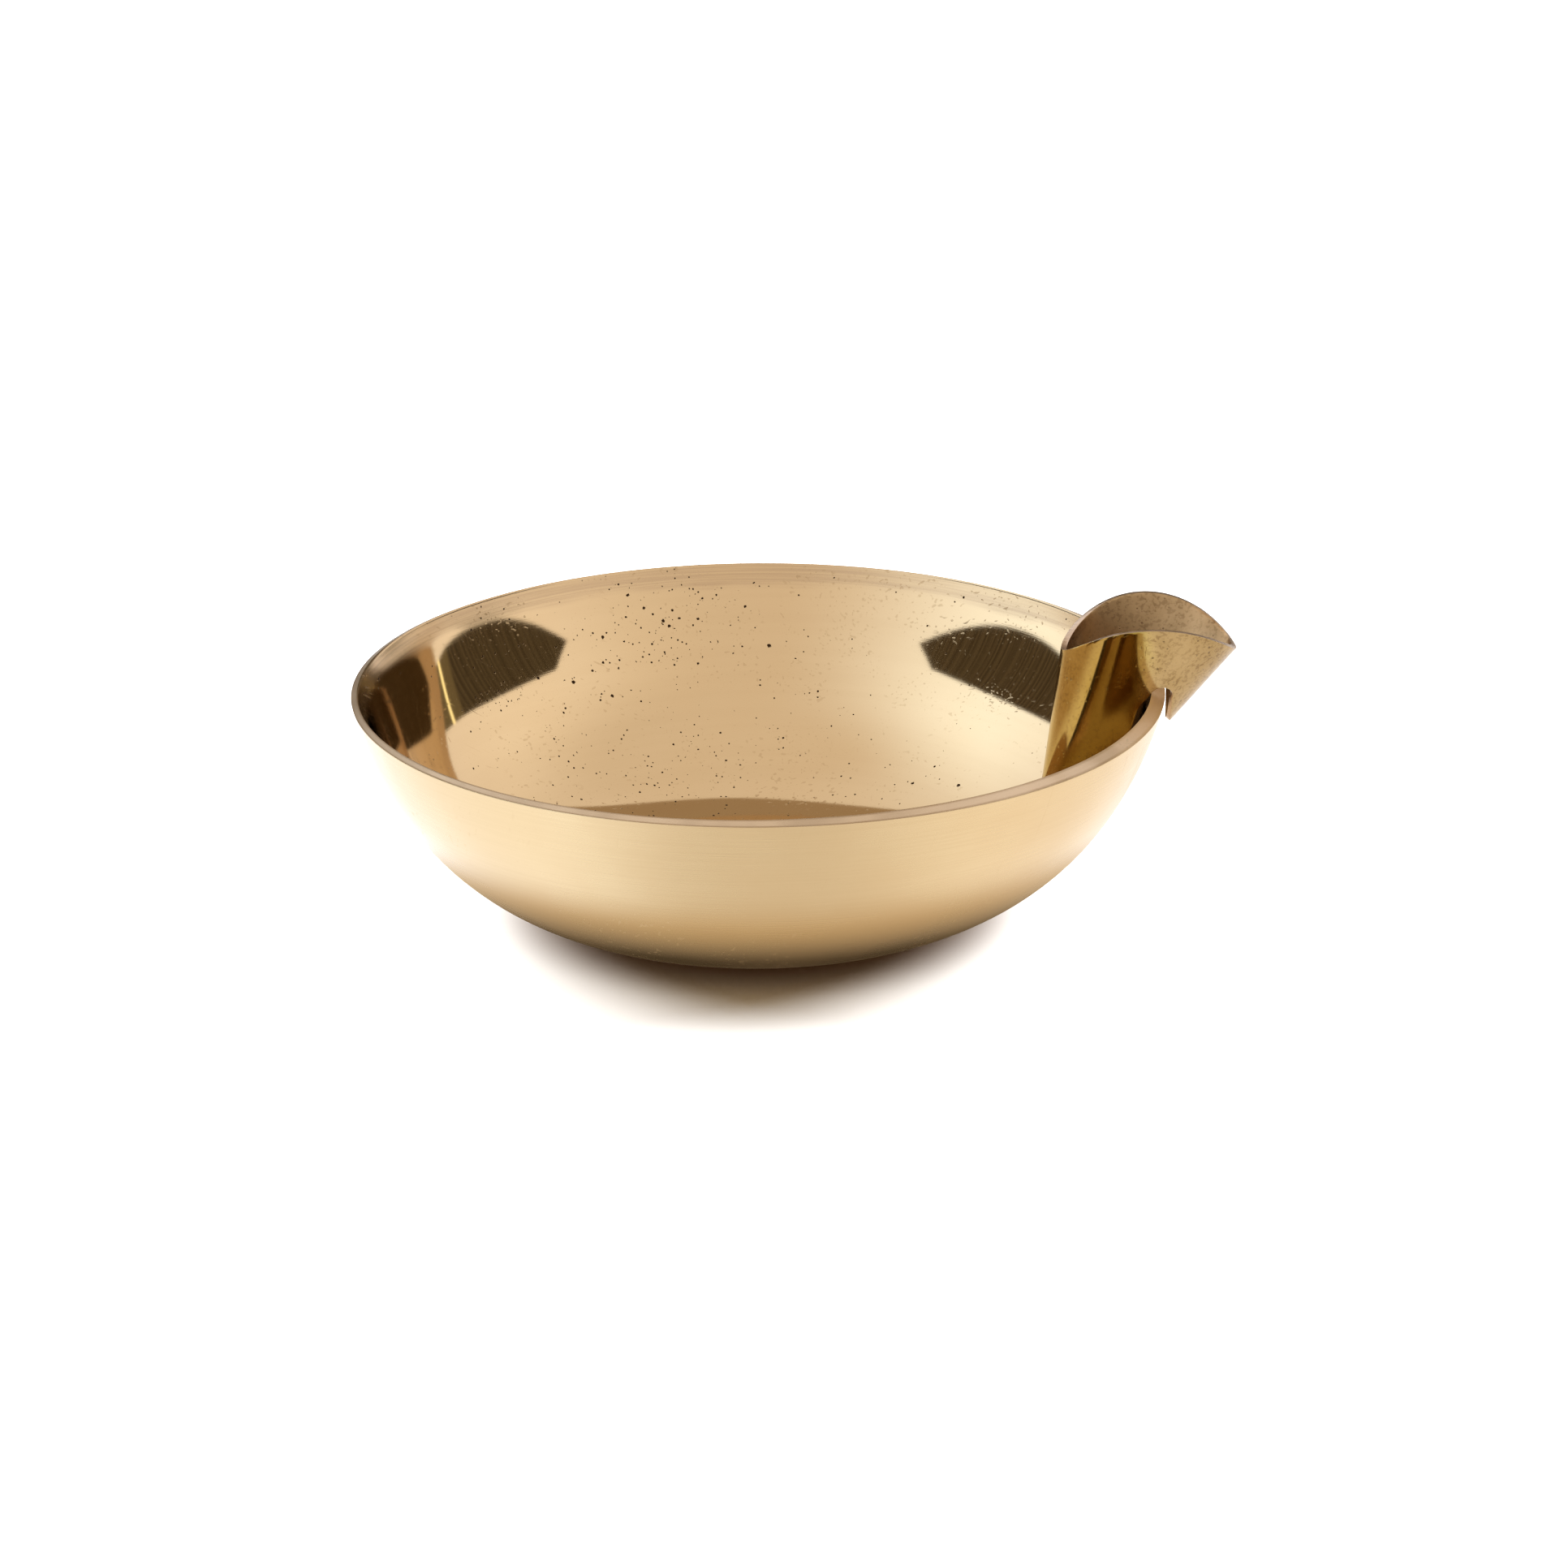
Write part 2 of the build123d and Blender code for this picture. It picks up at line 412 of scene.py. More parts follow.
def section_curve(t):
    """One wall of the rest's section at SECTION_HEIGHT, from the inner fold to the outer fold."""
    dx, dy = math.cos(FOLD_ANGLE), math.sin(FOLD_ANGLE)
    return cubic(
        (
            (FOLD_INNER_X, 0),
            (FOLD_INNER_X + INNER_HANDLE * dx, INNER_HANDLE * dy),
            (FOLD_OUTER_X - OUTER_HANDLE * dx, OUTER_HANDLE * dy),
            (FOLD_OUTER_X, 0),
        ),
        t,
    )


def cone_scale(height):
    return (height - APEX_HEIGHT) / (SECTION_HEIGHT - APEX_HEIGHT)


def to_wall(x, height):
    """The place on a wall, as the section's parameter, of a point seen along Y."""
    table = np.linspace(0, 1, WALL_LOOKUP)
    at_section = APEX_X + (x - APEX_X) / cone_scale(height)
    return float(np.interp(at_section, section_curve(table)[:, 0], table))


def fold_meets_arc(fold_x):
    """The height at which a fold line crosses the arc of the top edge."""
    slope = (fold_x - APEX_X) / (SECTION_HEIGHT - APEX_HEIGHT)
    heights = np.linspace(TOP_ARC_HEIGHT, TOP_ARC_HEIGHT + TOP_ARC_RADIUS, FOLD_LOOKUP)
    x = APEX_X + slope * (heights - APEX_HEIGHT)
    miss = np.hypot(x - TOP_ARC_X, heights - TOP_ARC_HEIGHT) - TOP_ARC_RADIUS
    return float(heights[np.argmin(np.abs(miss))])


def circle_through(a, b, c):
    """Centre and radius of the circle through three points."""
    (ax, ay), (bx, by), (cx, cy) = a, b, c
    matrix = np.array(((bx - ax, by - ay), (cx - ax, cy - ay)), float)
    right = np.array((bx * bx - ax * ax + by * by - ay * ay, cx * cx - ax * ax + cy * cy - ay * ay)) / 2
    centre = np.linalg.solve(matrix, right)
    return centre, math.hypot(ax - centre[0], ay - centre[1])


def smooth_through(points, step):
    """A Catmull-Rom line through the points, about step apart."""
    points = [np.array(p, float) for p in points]
    points = [2 * points[0] - points[1], *points, 2 * points[-1] - points[-2]]
    line = []
    for p, q, r, s in zip(points, points[1:], points[2:], points[3:]):
        count = max(2, int(np.linalg.norm(r - q) / step))
        for t in np.linspace(0, 1, count, endpoint=False):
            square = 2 * p - 5 * q + 4 * r - s
            cube = 3 * q - p - 3 * r + s
            line.append(0.5 * (2 * q + (r - p) * t + square * t * t + cube * t**3))
    line.append(points[-2])
    return line


def rest_outline():
    """The edge of one wall, in order, as section parameter and height."""
    outline = []
    low_x = EDGE_POINTS[-1][0]
    last = to_wall(low_x, BOTTOM_HEIGHT)
    for share in np.linspace(0, 1, BOTTOM_POINTS, endpoint=False):
        outline.append((share * last, BOTTOM_HEIGHT))
    inner_edge = smooth_through(tuple(reversed(EDGE_POINTS)) + (NOTCH_HEEL,), MESH_STEP)
    outline += [(to_wall(x, z), z) for x, z in inner_edge]
    centre, radius = circle_through(NOTCH_HEEL, NOTCH_CROWN, (TIP_X, TIP_SIDE_TOP))
    start = math.atan2(NOTCH_HEEL[1] - centre[1], NOTCH_HEEL[0] - centre[0])
    end = math.atan2(TIP_SIDE_TOP - centre[1], TIP_X - centre[0])
    start += 2 * math.pi if start < end else 0
    for turn in np.linspace(start, end, NOTCH_POINTS)[1:]:
        x, z = centre[0] + radius * math.cos(turn), centre[1] + radius * math.sin(turn)
        outline.append((to_wall(x, z), z))
    tip_share = (TIP_X - APEX_X) / (FOLD_OUTER_X - APEX_X)
    tip_height = APEX_HEIGHT + tip_share * (SECTION_HEIGHT - APEX_HEIGHT)
    for z in np.linspace(TIP_SIDE_TOP, tip_height, TIP_POINTS)[1:-1]:
        outline.append((to_wall(TIP_X, z), z))
    outer_top = fold_meets_arc(FOLD_OUTER_X)
    inner_top = fold_meets_arc(FOLD_INNER_X)
    for z in np.arange(tip_height, outer_top, MESH_STEP):
        outline.append((1.0, z))
    start = math.asin((outer_top - TOP_ARC_HEIGHT) / TOP_ARC_RADIUS)
    end = math.pi - math.asin((inner_top - TOP_ARC_HEIGHT) / TOP_ARC_RADIUS)
    for turn in np.linspace(start, end, TOP_ARC_POINTS):
        x = TOP_ARC_X + TOP_ARC_RADIUS * math.cos(turn)
        z = TOP_ARC_HEIGHT + TOP_ARC_RADIUS * math.sin(turn)
        outline.append((to_wall(x, z), z))
    outline[-TOP_ARC_POINTS] = (1.0, outer_top)
    outline[-1] = (0.0, inner_top)
    for z in np.arange(inner_top - MESH_STEP, BOTTOM_HEIGHT + MESH_STEP / 2, -MESH_STEP):
        outline.append((0.0, z))
    return outline


def inside_polygon(point, polygon, clearance):
    """Whether a point is inside the polygon and further than the clearance from its corners."""
    inside = False
    x, y = point
    for (x0, y0), (x1, y1) in zip(polygon, polygon[1:] + polygon[:1]):
        if (y0 > y) != (y1 > y) and x < x0 + (y - y0) / (y1 - y0) * (x1 - x0):
            inside = not inside
    closest = min((x - x0) ** 2 + (y - y0) ** 2 for x0, y0 in polygon)
    return inside and closest > clearance**2


def rest_mesh():
    """The rest: both walls joined at the folds, thickened inward to the sheet, edges worn round."""
    outline = [(s * WALL_LENGTH, z) for s, z in rest_outline()]
    count = len(outline)
    flat = [Vector(p) for p in outline]
    for u in np.arange(MESH_STEP, WALL_LENGTH, MESH_STEP):
        for z in np.arange(BOTTOM_HEIGHT + MESH_STEP, TOP_ARC_HEIGHT + TOP_ARC_RADIUS, MESH_STEP):
            if inside_polygon((u, z), outline, 0.6 * MESH_STEP):
                flat.append(Vector((u, z)))
    edges = [(i, (i + 1) % count) for i in range(count)]
    flat, _, faces, *_ = geometry.delaunay_2d_cdt(flat, edges, [tuple(range(count))], 1, 1e-5)
    mesh = bmesh.new()
    walls = []
    for side in (-1, 1):
        wall = []
        for p in flat:
            share = min(max(p.x / WALL_LENGTH, 0), 1)
            x, y = section_curve([share])[0]
            scale = cone_scale(p.y)
            place = Vector((APEX_X + (x - APEX_X) * scale, side * y * scale, p.y)) * MM
            wall.append(mesh.verts.new(place))
        walls.append(wall)
        for face in faces:
            corners = [wall[i] for i in face]
            mesh.faces.new(corners if side < 0 else corners[::-1])
    bmesh.ops.remove_doubles(mesh, verts=mesh.verts, dist=1e-6)
    bmesh.ops.recalc_face_normals(mesh, faces=mesh.faces)
    piece = finish_mesh(mesh, "rest_folded")
    for material in (rest_outer_brass(), rest_inner_brass(), cut_edge_brass()):
        piece.data.materials.append(material)
    thicken(piece)
    return piece


def thicken(piece):
    """Thickens the sheet inward, rounds its cut edges and keeps it under the arc of the top edge."""
    solid = piece.modifiers.new("sheet", "SOLIDIFY")
    solid.thickness = SHEET * MM
    solid.offset = -1
    solid.use_even_offset = True
    solid.material_offset = 1
    solid.material_offset_rim = 2
    worn = piece.modifiers.new("worn_edges", "BEVEL")
    worn.width = CUT_EDGE * MM
    worn.segments = 2
    worn.limit_method = "ANGLE"
    worn.angle_limit = math.radians(45)
    bpy.context.view_layer.update()
    evaluated = piece.evaluated_get(bpy.context.evaluated_depsgraph_get())
    piece.data = bpy.data.meshes.new_from_object(evaluated)
    piece.modifiers.clear()
    piece.data.name = piece.name
    piece.data.shade_smooth()
    piece.data.set_sharp_from_angle(angle=math.radians(50))
    for vert in piece.data.vertices:
        across = vert.co.x / MM - TOP_ARC_X
        if abs(across) < TOP_ARC_RADIUS:
            arc = TOP_ARC_HEIGHT + math.sqrt(TOP_ARC_RADIUS**2 - across**2)
            vert.co.z = min(vert.co.z, arc * MM)


# ---------------------------------------------------------------- shader helpers


class Graph:
    """Short names for making shader nodes and joining them."""

    def __init__(self, tree):
        self.tree = tree
        self.tree.nodes.clear()

    def node(self, kind, settings=None, **inputs):
        made = self.tree.nodes.new("ShaderNode" + kind)
        for name, value in (settings or {}).items():
            setattr(made, name, value)
        for name, value in inputs.items():
            self.put(made.inputs[name.replace("_", " ")], value)
        return made

    def put(self, socket, value):
        if isinstance(value, bpy.types.NodeSocket):
            self.tree.links.new(value, socket)
        elif value is not None:
            if socket.type == "RGBA" and len(value) == 3:
                value = (*value, 1.0)
            socket.default_value = value

    def math(self, operation, *values, clamp=False):
        made = self.tree.nodes.new("ShaderNodeMath")
        made.operation = operation
        made.use_clamp = clamp
        for socket, value in zip(made.inputs, values):
            self.put(socket, value)
        return made.outputs[0]

    def band(self, value, low, high, start=0.0, end=1.0):
        """Rises smoothly from start to end as the value goes from low to high."""
        made = self.node("MapRange", {"interpolation_type": "SMOOTHSTEP"})
        for name, number in (("Value", value), ("From Min", low), ("From Max", high)):
            self.put(made.inputs[name], number)
        self.put(made.inputs["To Min"], start)
        self.put(made.inputs["To Max"], end)
        return made.outputs["Result"]

    def mix(self, share, a, b, blend="MIX"):
        made = self.tree.nodes.new("ShaderNodeMix")
        made.data_type = "RGBA"
        made.blend_type = blend
        self.put(made.inputs[0], share)
        self.put(made.inputs[6], a)
        self.put(made.inputs[7], b)
        return made.outputs[2]

    def place(self):
        """The point on the object, in its own frame, in metres."""
        return self.node("TexCoord").outputs["Object"]

    def scaled(self, vector, scale, turn=(0, 0, 0)):
        made = self.node("Mapping", {"vector_type": "POINT"})
        self.put(made.inputs["Vector"], vector)
        made.inputs["Scale"].default_value = scale
        made.inputs["Rotation"].default_value = turn
        return made.outputs["Vector"]

    def noise(self, vector, scale=1.0, detail=2.0, roughness=0.5, distortion=0.0):
        made = self.node("TexNoise")
        self.put(made.inputs["Vector"], vector)
        made.inputs["Scale"].default_value = scale
        made.inputs["Detail"].default_value = detail
        made.inputs["Roughness"].default_value = roughness
        made.inputs["Distortion"].default_value = distortion
        return made.outputs["Fac"]


def join_output(graph, shader, kind="OutputMaterial"):
    output = graph.node(kind)
    graph.put(output.inputs["Surface"], shader.outputs[0])


def new_material(name):
    material = bpy.data.materials.new(name)
    material.use_nodes = True
    return material, Graph(material.node_tree)


def pits(graph, place, spacing, largest, density):
    """Ragged round pits, sizes in millimetres: 1 in a pit. Density is the share of cells with one."""
    cells = graph.node("TexVoronoi", {"feature": "F1"})
    graph.put(cells.inputs["Vector"], place)
    cells.inputs["Scale"].default_value = 1 / (spacing * MM)
    chance = graph.node("SeparateColor")
    graph.put(chance.inputs[0], cells.outputs["Color"])
    holds_pit = graph.math("LESS_THAN", chance.outputs[0], density)
    size = graph.math("POWER", chance.outputs[1], 2.0)
    radius = graph.math("MULTIPLY_ADD", size, 0.35 * largest / spacing, 0.15 * largest / spacing)
    ragged = graph.math("MULTIPLY_ADD", graph.noise(place, 5000.0, 2.0), 1.2, 0.4)
    distance = graph.math("MULTIPLY", ragged, cells.outputs["Distance"])
    depth = graph.math("SUBTRACT", radius, distance)
    edge = 0.04 / spacing
    return graph.math("MULTIPLY", graph.band(depth, -edge / 2, edge), holds_pit)


def scratches(graph, place, seeds, fineness=1800.0, stretch=60.0):
    """Fine straight scratches: 1 on a scratch. Each seed adds scratches in a direction of its own."""
    all_scratches = 0.0
    for seed in seeds:
        turned = graph.scaled(place, (1, 1, 1), (seed * 1.1, seed * 2.3, seed * 0.7))
        lines = graph.noise(graph.scaled(turned, (fineness, fineness / stretch, fineness)), 1.0, 0.0)
        shown = graph.noise(graph.scaled(turned, (90, 40, 90)), 1.0, 1.0)
        scratch = graph.math("MULTIPLY", graph.band(lines, 0.70, 0.78), graph.band(shown, 0.52, 0.62))
        all_scratches = graph.math("MAXIMUM", all_scratches, scratch)
    return all_scratches


def polishing(graph, place, along_scale, across_scale):
    """Streaks that run round the bowl: noise that changes slowly round it, fast along its profile."""
    reach = graph.node("Attribute", {"attribute_name": "reach"}).outputs["Fac"]
    parts = graph.node("SeparateXYZ", Vector=place)
    streak = graph.node("CombineXYZ")
    graph.put(streak.inputs[0], graph.math("MULTIPLY", parts.outputs[0], along_scale))
    graph.put(streak.inputs[1], graph.math("MULTIPLY", parts.outputs[1], along_scale))
    graph.put(streak.inputs[2], graph.math("MULTIPLY", reach, across_scale))
    return graph.noise(streak.outputs[0], 1.0, 3.0, 0.6)


def speckle(graph, place, patches):
    """Fine dark flecks of tarnish, thicker in patches."""
    fine = graph.noise(graph.scaled(place, (1300, 2000, 1500), (0.5, 0.3, 0.8)), 1.0, 3.0, 0.65)
    thicker = graph.band(patches, 0.35, 0.65, 0.3, 1.0)
    return graph.math("MULTIPLY", graph.band(fine, 0.50, 0.60), thicker)


def finish_brass(graph, color, roughness, relief, depth):
    """The shader itself, with a bump from the relief. Depth is in millimetres."""
    bump = graph.node("Bump")
    bump.inputs["Strength"].default_value = 1.0
    bump.inputs["Distance"].default_value = depth * MM
    graph.put(bump.inputs["Height"], relief)
    shader = graph.node("BsdfPrincipled")
    graph.put(shader.inputs["Base Color"], graph.mix(1.0, color, (AGED, AGED, AGED), "MULTIPLY"))
    graph.put(shader.inputs["Roughness"], roughness)
    shader.inputs["Metallic"].default_value = 1.0
    graph.put(shader.inputs["Normal"], bump.outputs[0])
    join_output(graph, shader)


# ---------------------------------------------------------------- materials


def near(graph, place, centre, radius):
    """1 at a centre given in millimetres, falling to 0 at the radius."""
    offset = graph.node("VectorMath", {"operation": "DISTANCE"})
    graph.put(offset.inputs[0], place)
    offset.inputs[1].default_value = Vector(centre) * MM
    return graph.band(offset.outputs["Value"], radius * MM, 0.0)


def clustered(graph, place, clusters, base):
    """The share of cells with a pit: a base share, more in the clusters, and all of it in groups."""
    density = base
    for centre, radius, share in clusters:
        density = graph.math("MULTIPLY_ADD", near(graph, place, centre, radius), share, density)
    groups = graph.band(graph.noise(place, 260.0, 2.0), 0.44, 0.58, 0.25, 2.2)
    return graph.math("MULTIPLY", density, groups)


def inside_brass():
    """Mirror polish with casting pits, fine turning marks, scratches and a band under the rim that is
    rougher, streaked and darker in colour.
    """
    material, graph = new_material("bowl_inside_polished")
    place = graph.place()
    height = graph.node("SeparateXYZ", Vector=place).outputs[2]
    patches = graph.noise(place, 35.0, 3.0)
    fine = polishing(graph, place, 90.0, 7000.0)
    broad = polishing(graph, place, 12.0, 350.0)
    large = pits(graph, place, *LARGE_PIT, clustered(graph, place, LARGE_PITS, LARGE_PIT_SHARE))
    small = pits(graph, place, *SMALL_PIT, clustered(graph, place, SMALL_PITS, SMALL_PIT_SHARE))
    pit = graph.math("MAXIMUM", large, small)
    scratch = scratches(graph, place, (1.0, 2.0, 3.0))
    brushed = polishing(graph, place, 30.0, 2600.0)
    wavy = graph.math("MULTIPLY_ADD", graph.noise(place, 45.0, 2.0), 0.004, height)
    under_rim = graph.band(wavy, 0.0350, 0.0366)
    color = graph.mix(graph.band(patches, 0.35, 0.7), *INSIDE_TONES)
    color = graph.mix(graph.band(broad, 0.4, 0.7, 0.0, 0.25), color, INSIDE_TURNED)
    # darker in colour in a streaked band just under the rim
    under_rim_dark = graph.math("MULTIPLY", under_rim, graph.band(brushed, 0.35, 0.65, 0.3, 1.0))
    color = graph.mix(graph.math("MULTIPLY", under_rim_dark, 0.8), color, INSIDE_UNDER_RIM_DARK)
    color = graph.mix(graph.math("MULTIPLY", scratch, 0.45), color, INSIDE_SCRATCH)
    color = graph.mix(pit, color, BOWL_PIT)
    roughness = graph.band(patches, *PATCHY, *INSIDE_ROUGHNESS)
    roughness = graph.math("MULTIPLY_ADD", fine, 0.02, roughness)
    roughness = graph.math("MULTIPLY_ADD", under_rim, 0.12, roughness)
    roughness = graph.math("MULTIPLY_ADD", pit, 0.5, roughness)
    roughness = graph.math("MULTIPLY_ADD", scratch, 0.15, roughness, clamp=True)
    relief = graph.math("MULTIPLY", pit, -1.0)
    relief = graph.math("MULTIPLY_ADD", scratch, -0.02, relief)
    relief = graph.math("MULTIPLY_ADD", fine, 0.010, relief)
    finish_brass(graph, color, roughness, relief, depth=0.12)
    return material


def outside_brass():
    """Satin, with fine streaks round the bowl, a few pits and light scratches."""
    material, graph = new_material("bowl_outside_satin")
    place = graph.place()
    patches = graph.noise(place, 40.0, 4.0)
    streaks = polishing(graph, place, 40.0, 4000.0)
    pit = pits(graph, place, *OUTSIDE_PIT, OUTSIDE_PIT_SHARE)
    scratch = scratches(graph, place, (4.0, 5.0))
    color = graph.mix(graph.band(patches, *PATCHY), *OUTSIDE_TONES)
    color = graph.mix(graph.band(streaks, 0.35, 0.7, 0.0, 0.3), color, OUTSIDE_STREAK)
    color = graph.mix(pit, color, BOWL_PIT)
    roughness = graph.band(patches, *PATCHY, *OUTSIDE_ROUGHNESS)
    roughness = graph.math("MULTIPLY_ADD", streaks, 0.08, roughness)
    roughness = graph.math("MULTIPLY_ADD", scratch, 0.1, roughness, clamp=True)
    relief = graph.math("MULTIPLY", pit, -1.0)
    relief = graph.math("MULTIPLY_ADD", streaks, 0.035, relief)
    relief = graph.math("MULTIPLY_ADD", scratch, -0.05, relief)
    finish_brass(graph, color, roughness, relief, depth=0.1)
    return material


def rim_brass():
    """Satin rim face, brighter towards the rest."""
    material, graph = new_material("bowl_rim_satin")
    place = graph.place()
    patches = graph.noise(place, 120.0, 3.0)
    scratch = scratches(graph, place, (6.0, 7.0))
    x = graph.node("SeparateXYZ", Vector=place).outputs[0]
    color = graph.mix(graph.band(patches, *PATCHY), *RIM_TONES)
    # brighter towards the rest, with a colour above one
    color = graph.mix(graph.band(x, 0.015, 0.045, 0.0, 0.8), color, RIM_TOWARD_REST)
    color = graph.mix(graph.math("MULTIPLY", scratch, 0.4), color, RIM_SCRATCH)
    roughness = graph.band(patches, *PATCHY, *RIM_ROUGHNESS)
    relief = graph.math("MULTIPLY_ADD", scratch, -0.1, graph.math("MULTIPLY", patches, 0.2))
    finish_brass(graph, color, roughness, relief, depth=0.05)
    return material


def base_brass():
    """The worn flat underneath, with the rings that turning left."""
    material, graph = new_material("bowl_base_turned")
    place = graph.place()
    rings = polishing(graph, place, 10.0, 3000.0)
    wear = graph.noise(place, 150.0, 4.0)
    color = graph.mix(graph.band(wear, 0.35, 0.65), *BASE_TONES)
    roughness = graph.band(wear, *PATCHY, *BASE_ROUGHNESS)
    relief = graph.math("MULTIPLY_ADD", rings, 0.5, graph.math("MULTIPLY", wear, 0.3))
    finish_brass(graph, color, roughness, relief, depth=0.05)
    return material


def rest_outer_brass():
    """Polished, with painted shade past a slanting line near the inner fold, tarnished and flecked
    outboard of the rim.
    """
    material, graph = new_material("rest_outer_polished")
    place = graph.place()
    x, _, z = graph.node("SeparateXYZ", Vector=place).outputs
    patches = graph.noise(place, 160.0, 4.0)
    worn = graph.math("MULTIPLY_ADD", graph.noise(place, 90.0, 3.0), 0.006, x)
    outboard = graph.band(worn, 0.0605, 0.068)
    pit_share = graph.math(
        "MULTIPLY",
        graph.band(patches, 0.4, 0.65, 0.1, 0.6),
        graph.band(outboard, 0.0, 1.0, 0.15, 1.0),
    )
    pit = pits(graph, place, *REST_PIT_SIZE, pit_share)
    scratch = scratches(graph, place, (1.5, 2.5, 3.5, 4.5), 2600.0, 30.0)
    polished = graph.mix(graph.band(patches, *PATCHY), *REST_POLISHED)
    tarnished = graph.mix(graph.band(patches, *PATCHY), *REST_TARNISHED)
    color = graph.mix(outboard, polished, tarnished)
    # painted shade: the polished metal is painted dark olive past a slanting line
    slanted = graph.math("MULTIPLY_ADD", graph.math("SUBTRACT", z, 0.030), -0.3, worn)
    darker = graph.math("MULTIPLY", graph.band(slanted, 0.0525, 0.0545), graph.band(worn, 0.066, 0.062))
    color = graph.mix(darker, color, REST_PAINTED_SHADE)
    fleck_strength = graph.band(outboard, 0.0, 1.0, 0.25, 0.7)
    flecks = graph.math("MULTIPLY", speckle(graph, place, patches), fleck_strength)
    color = graph.mix(flecks, color, REST_OUTER_FLECK)
    color = graph.mix(graph.math("MULTIPLY", pit, 0.7), color, REST_PIT)
    roughness = graph.band(outboard, 0.0, 1.0, *REST_OUTER_ROUGHNESS)
    roughness = graph.math("MULTIPLY_ADD", graph.band(patches, 0.4, 0.7), 0.06, roughness)
    roughness = graph.math("MULTIPLY_ADD", scratch, 0.12, roughness)
    relief = graph.math("MULTIPLY", pit, -0.5)
    relief = graph.math("MULTIPLY_ADD", scratch, -0.15, relief)
    finish_brass(graph, color, roughness, relief, depth=0.06)
    return material


def rest_inner_brass():
    """Dull and flecked, warmer towards the outer fold."""
    material, graph = new_material("rest_inner_dull")
    place = graph.place()
    patches = graph.noise(place, 120.0, 4.0)
    x = graph.node("SeparateXYZ", Vector=place).outputs[0]
    pit = pits(graph, place, *REST_PIT_SIZE, graph.band(patches, 0.4, 0.65, 0.1, 0.6))
    scratch = scratches(graph, place, (8.0, 9.0))
    flecks = graph.math("MULTIPLY", speckle(graph, place, patches), 0.6)
    color = graph.mix(graph.band(patches, *PATCHY), *REST_DULL)
    color = graph.mix(graph.band(x, 0.066, 0.078, 0.0, 0.6), color, REST_WARM)
    color = graph.mix(flecks, color, REST_INNER_FLECK)
    color = graph.mix(graph.math("MULTIPLY", pit, 0.6), color, REST_PIT)
    roughness = graph.band(patches, *PATCHY, *REST_INNER_ROUGHNESS)
    relief = graph.math("MULTIPLY", pit, -0.5)
    relief = graph.math("MULTIPLY_ADD", scratch, -0.15, relief)
    finish_brass(graph, color, roughness, relief, depth=0.06)
    return material


def cut_edge_brass():
    """Bright metal with file marks across the edge."""
    material, graph = new_material("rest_cut_edge")
    place = graph.place()
    filed = graph.noise(graph.scaled(place, (600, 4000, 600)), 1.0, 2.0)
    color = graph.mix(filed, *CUT_TONES)
    roughness = graph.band(filed, *PATCHY, *CUT_ROUGHNESS)
    finish_brass(graph, color, roughness, filed, depth=0.03)
    return material


def distance_from_axis(graph, place):
    flat = graph.node("VectorMath", {"operation": "MULTIPLY"})
    graph.put(flat.inputs[0], place)
    flat.inputs[1].default_value = (1, 1, 0)
    length = graph.node("VectorMath", {"operation": "LENGTH"})
    graph.put(length.inputs[0], flat.outputs[0])
    return length.outputs["Value"]


def floor_white():
    """Pale floor with a painted brown shadow close under the bowl. The shade there is painted, tinted for
    the light that the brass throws into it.
    """
    material, graph = new_material("studio_floor")
    place = graph.place()
    grain = graph.noise(place, 30.0, 2.0)
    plain = graph.mix(grain, *FLOOR_TONES)
    # painted shadow: the floor is painted brown and dark close under the bowl
    outside_painted_shadow = graph.band(distance_from_axis(graph, place), *FLOOR_PAINTED_SHADOW_RADII)
    color = graph.mix(outside_painted_shadow, FLOOR_PAINTED_SHADOW, plain)
    shader = graph.node("BsdfDiffuse")
    graph.put(shader.inputs["Color"], color)
    join_output(graph, shader)
    return material


def card_light():
    """What the underside of the brass reflects: a glowing card for the bright floor, with painted brown
    shade and a dark painted shadow close under the bowl.
    """
    material, graph = new_material("studio_floor_card")
    place = graph.place()
    radius = distance_from_axis(graph, place)
    x = graph.node("SeparateXYZ", Vector=place).outputs[0]
    side = graph.math("DIVIDE", x, graph.math("MAXIMUM", radius, 0.001))
    light = graph.mix(graph.band(side, -0.1, -0.8), CARD_FRONT, CARD_LEFT)
    light = graph.mix(graph.band(side, 0.1, 0.9), light, CARD_RIGHT)
    # painted shade, then a dark painted shadow, close under the bowl
    light = graph.mix(graph.band(radius, *CARD_SHADE_RADII), light, CARD_SHADE)
    light = graph.mix(graph.band(radius, *CARD_PAINTED_SHADOW_RADII), light, CARD_PAINTED_SHADOW)
    shader = graph.node("Emission", Strength=ROOM_POWER)
    graph.put(shader.inputs["Color"], light)
    join_output(graph, shader)
    return material


# ---------------------------------------------------------------- studio


def dark_gap(graph, azimuth, elevation, side, end, end_height, low, rise, reach, top):
    """1 in the dark gap of one side: a strip along a wall whose foot climbs to a point at its end."""
    aside = graph.math("MULTIPLY", azimuth, side)
    beyond = graph.math("SUBTRACT", aside, end)
    foot = graph.math("EXPONENT", graph.math("DIVIDE", beyond, -reach))
    foot = graph.math("MULTIPLY_ADD", foot, rise, low)
    facing = graph.math("COSINE", graph.math("RADIANS", graph.math("SUBTRACT", aside, GAP_FACING)))
    strip = graph.math("DEGREES", graph.math("ARCTANGENT", graph.math("MULTIPLY", facing, top)))
    corner = graph.math("MULTIPLY_ADD", beyond, GAP_CORNER, end_height)
    head = graph.math("MINIMUM", strip, corner)
    above_foot = graph.band(graph.math("SUBTRACT", elevation, foot), -0.3, 0.3)
    below_head = graph.band(graph.math("SUBTRACT", head, elevation), -0.3, 0.3)
    return graph.math("MULTIPLY", above_foot, below_head)


